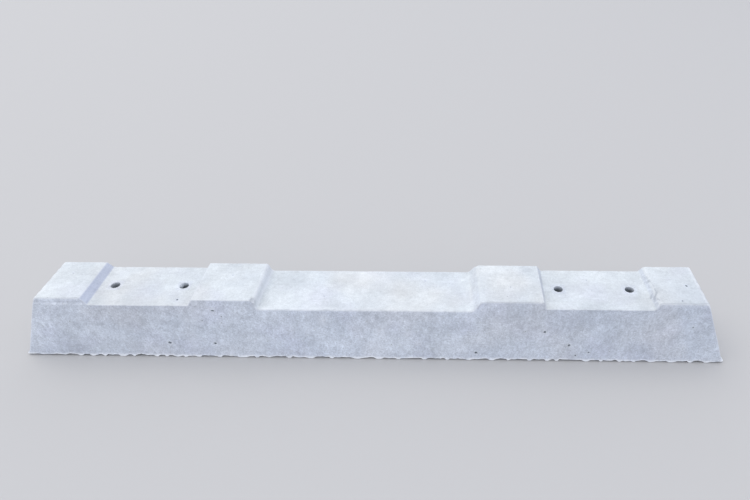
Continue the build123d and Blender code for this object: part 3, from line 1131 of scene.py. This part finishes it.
# and dark ones, in patches
dark_fleck = voronoi(mapped((1, 1, 1), (2.2, 7.4, 1.3)), 300.0)
ssep = node("ShaderNodeSeparateColor")
link(dark_fleck.outputs["Color"], ssep.inputs[0])
ssize = map_range(ssep.outputs[2], 0.80, 1.0, 0.0, 0.46)
sspot = math_node("MULTIPLY", map_range(math_node("SUBTRACT", ssize, dark_fleck.outputs["Distance"]), 0.0, 0.12), a_side)
zone = map_range(tex_noise(mapped((1, 1, 1), (6.1, 0.2, 5.5)), 13.0, 3.0, 0.6), 0.44, 0.62, 0.12, 1.0)
base = mix(math_node("MULTIPLY", math_node("MULTIPLY", sspot, zone), 0.46), base, (0.36, 0.385, 0.42))

# smudges, with painted shade and painted light on the slopes, the step and the left bevel, which is also painted bluish
# as sky shade; then bloom
base = mix(map_range(a_stain_and_painted_light, 0.0, -1.0, 0.0, 0.42), base, (0.36, 0.38, 0.43))
base = mix(map_range(a_stain_and_painted_light, 0.0, 1.2, 0.0, 0.55), base, (0.80, 0.82, 0.85))
base = mix(math_node("MULTIPLY", attr("bevel_sky_shade"), 0.34), base, (0.500, 0.565, 0.740))
base = mix(math_node("MULTIPLY", a_bloom, 0.85), base, (0.88, 0.90, 0.915))
base = mix(math_node("MULTIPLY", a_edge, 0.34), base, (0.76, 0.79, 0.82))
base = mix(math_node("MULTIPLY", a_chip, map_range(curd, 0.35, 0.65, 0.10, 0.40)), base, (0.50, 0.52, 0.56))
base = mix(math_node("MULTIPLY", a_scar, 0.60), base, (0.26, 0.29, 0.33))

# pinholes left by air bubbles, painted dark inside as shade, with a matching dip in the bump
vor = voronoi(plain, 120.0)
sep = node("ShaderNodeSeparateColor")
link(vor.outputs["Color"], sep.inputs[0])
size = map_range(sep.outputs[0], 0.90, 1.0, 0.0, 0.15)
pin = math_node("MULTIPLY", map_range(math_node("SUBTRACT", size, vor.outputs["Distance"]), 0.0, 0.05),
                map_range(size, 0.005, 0.02))
base = mix(math_node("MULTIPLY", pin, 0.6), base, (0.22, 0.24, 0.27))

# bolt holes and blow holes: painted shade, grey near the mouth, then dark deeper inside
base = mix(map_range(a_hole_shade, 0.20, 1.0, 0.0, 0.92), base, (0.12, 0.145, 0.16))

bsdf = node("ShaderNodeBsdfPrincipled")
out = node("ShaderNodeOutputMaterial")
link(base, bsdf.inputs["Base Color"])
link(bsdf.outputs[0], out.inputs["Surface"])
bsdf.inputs["Specular IOR Level"].default_value = 0.3
link(map_range(mottle, 0.3, 0.7, 0.74, 0.90), bsdf.inputs["Roughness"])

height = math_node("MULTIPLY", grain, 0.8)
height = math_node("ADD", height, math_node("MULTIPLY", mottle, 0.9))
height = math_node("ADD", height, math_node("MULTIPLY", curd, 0.6))
height = math_node("ADD", height, math_node("MULTIPLY", lines, 0.5))
height = math_node("SUBTRACT", height, math_node("MULTIPLY", pin, 1.8))
coarse_n = tex_noise(plain, 240.0, 5.0, 0.7)
height = math_node("ADD", height, math_node("MULTIPLY", math_node("MULTIPLY", coarse_n, a_chip), 2.6))
height = math_node("ADD", height, math_node("MULTIPLY", math_node("MULTIPLY", coarse_n, a_under), 3.0))
bump = node("ShaderNodeBump")
bump.inputs["Strength"].default_value = 0.6
bump.inputs["Distance"].default_value = 0.0010
link(height, bump.inputs["Height"])
link(bump.outputs["Normal"], bsdf.inputs["Normal"])

me.materials.append(mat)
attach(sleeper, "root")
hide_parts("sleeper")

# =========================================================================
# 7. Floor, light and camera
# =========================================================================

fm = bpy.data.meshes.new("floor")
S = 60.0
fm.from_pydata([(-S, -S, 0), (S, -S, 0), (S, S, 0), (-S, S, 0)], [], [(0, 1, 2, 3)])
floor = bpy.data.objects.new("floor", fm)
bpy.context.scene.collection.objects.link(floor)
fmat = bpy.data.materials.new("floor_pale")
fmat.use_nodes = True
fb_ = fmat.node_tree.nodes["Principled BSDF"]
fb_.inputs["Base Color"].default_value = (0.50, 0.50, 0.495, 1)
fb_.inputs["Roughness"].default_value = 0.9
fb_.inputs["Specular IOR Level"].default_value = 0.2
fm.materials.append(fmat)

world = bpy.data.worlds.new("studio")
bpy.context.scene.world = world
world.use_nodes = True
bg = world.node_tree.nodes["Background"]
bg.inputs["Color"].default_value = (0.875, 0.90, 1.0, 1)
bg.inputs["Strength"].default_value = 1.105


def area(name, loc, target, size, power, color):
    ld = bpy.data.lights.new(name, "AREA")
    ld.shape = "RECTANGLE"
    ld.size, ld.size_y = size
    ld.energy = power
    ld.color = color
    ob = bpy.data.objects.new(name, ld)
    bpy.context.scene.collection.objects.link(ob)
    ob.location = loc
    d = Vector(target) - Vector(loc)
    ob.rotation_mode = "QUATERNION"
    ob.rotation_quaternion = d.to_track_quat("-Z", "Y")
    return ob


area("key", (-4.2, 2.0, 10.4), (0.0, 0, 0.1), (11.0, 9.0), 490, (1.0, 0.955, 0.86))

# the camera stands where the photographer did; the lens shift brings the
# whole length into the frame without changing the view
cam_d = bpy.data.cameras.new("camera")
cam = bpy.data.objects.new("camera", cam_d)
bpy.context.scene.collection.objects.link(cam)
pitch, yaw, roll = math.radians(37.074), math.radians(-1.490), math.radians(-0.459)
cz, sz = math.cos(yaw), math.sin(yaw)
Rz = Matrix(((cz, -sz, 0), (sz, cz, 0), (0, 0, 1)))
base_m = Matrix(((1, 0, 0), (0, 0, -1), (0, 1, 0)))
cp, sp = math.cos(pitch), math.sin(pitch)
Rx = Matrix(((1, 0, 0), (0, cp, -sp), (0, sp, cp)))
cr, sr = math.cos(roll), math.sin(roll)
Rr = Matrix(((cr, -sr, 0), (sr, cr, 0), (0, 0, 1)))
M = Rr @ Rx @ base_m @ Rz
right, down, ahead = M[0], M[1], M[2]
rot = Matrix((right, -down, -ahead)).transposed()
cam.matrix_world = Matrix.Translation((0.15791, -0.90200, 0.91875)) @ rot.to_4x4()
cam_d.sensor_width = 36.0
cam_d.lens = 554.124 / 750.0 * 36.0
cam_d.shift_x = -57.0 / 750.0
cam_d.clip_start, cam_d.clip_end = 0.01, 100
bpy.context.scene.camera = cam

bpy.context.scene.view_settings.view_transform = "Standard"
bpy.context.scene.view_settings.look = "None"
bpy.context.scene.view_settings.exposure = 0.0
